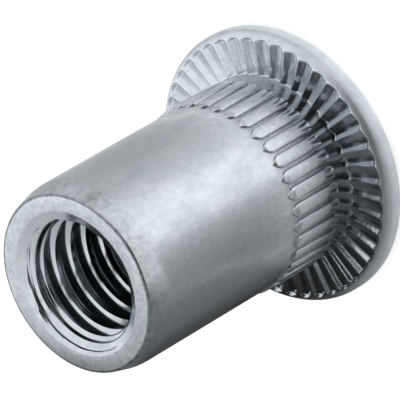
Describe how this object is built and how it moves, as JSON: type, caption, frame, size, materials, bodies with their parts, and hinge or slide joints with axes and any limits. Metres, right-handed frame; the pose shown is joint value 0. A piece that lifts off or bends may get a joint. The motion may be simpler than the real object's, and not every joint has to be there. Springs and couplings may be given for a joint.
{
  "type": "rivet nut",
  "caption": "Blind rivet nut with a flat round head, radial ribs under it, a knurled round shank and a through bore threaded in its far half.",
  "frame": {"origin": "centre of the head's outer face, which the nut stands on", "axes": "+Z along the nut's axis, from the head towards the threaded end; +X runs through the middle of one knurl ridge and one pocket under the head"},
  "size_m": [0.0162, 0.016, 0.018],
  "materials": {
    "zinc_plated_steel": "bright zinc plating, satin"
  },
  "bodies": {
    "root": {"rivet_nut": "zinc_plated_steel"}
  },
  "joints": []
}
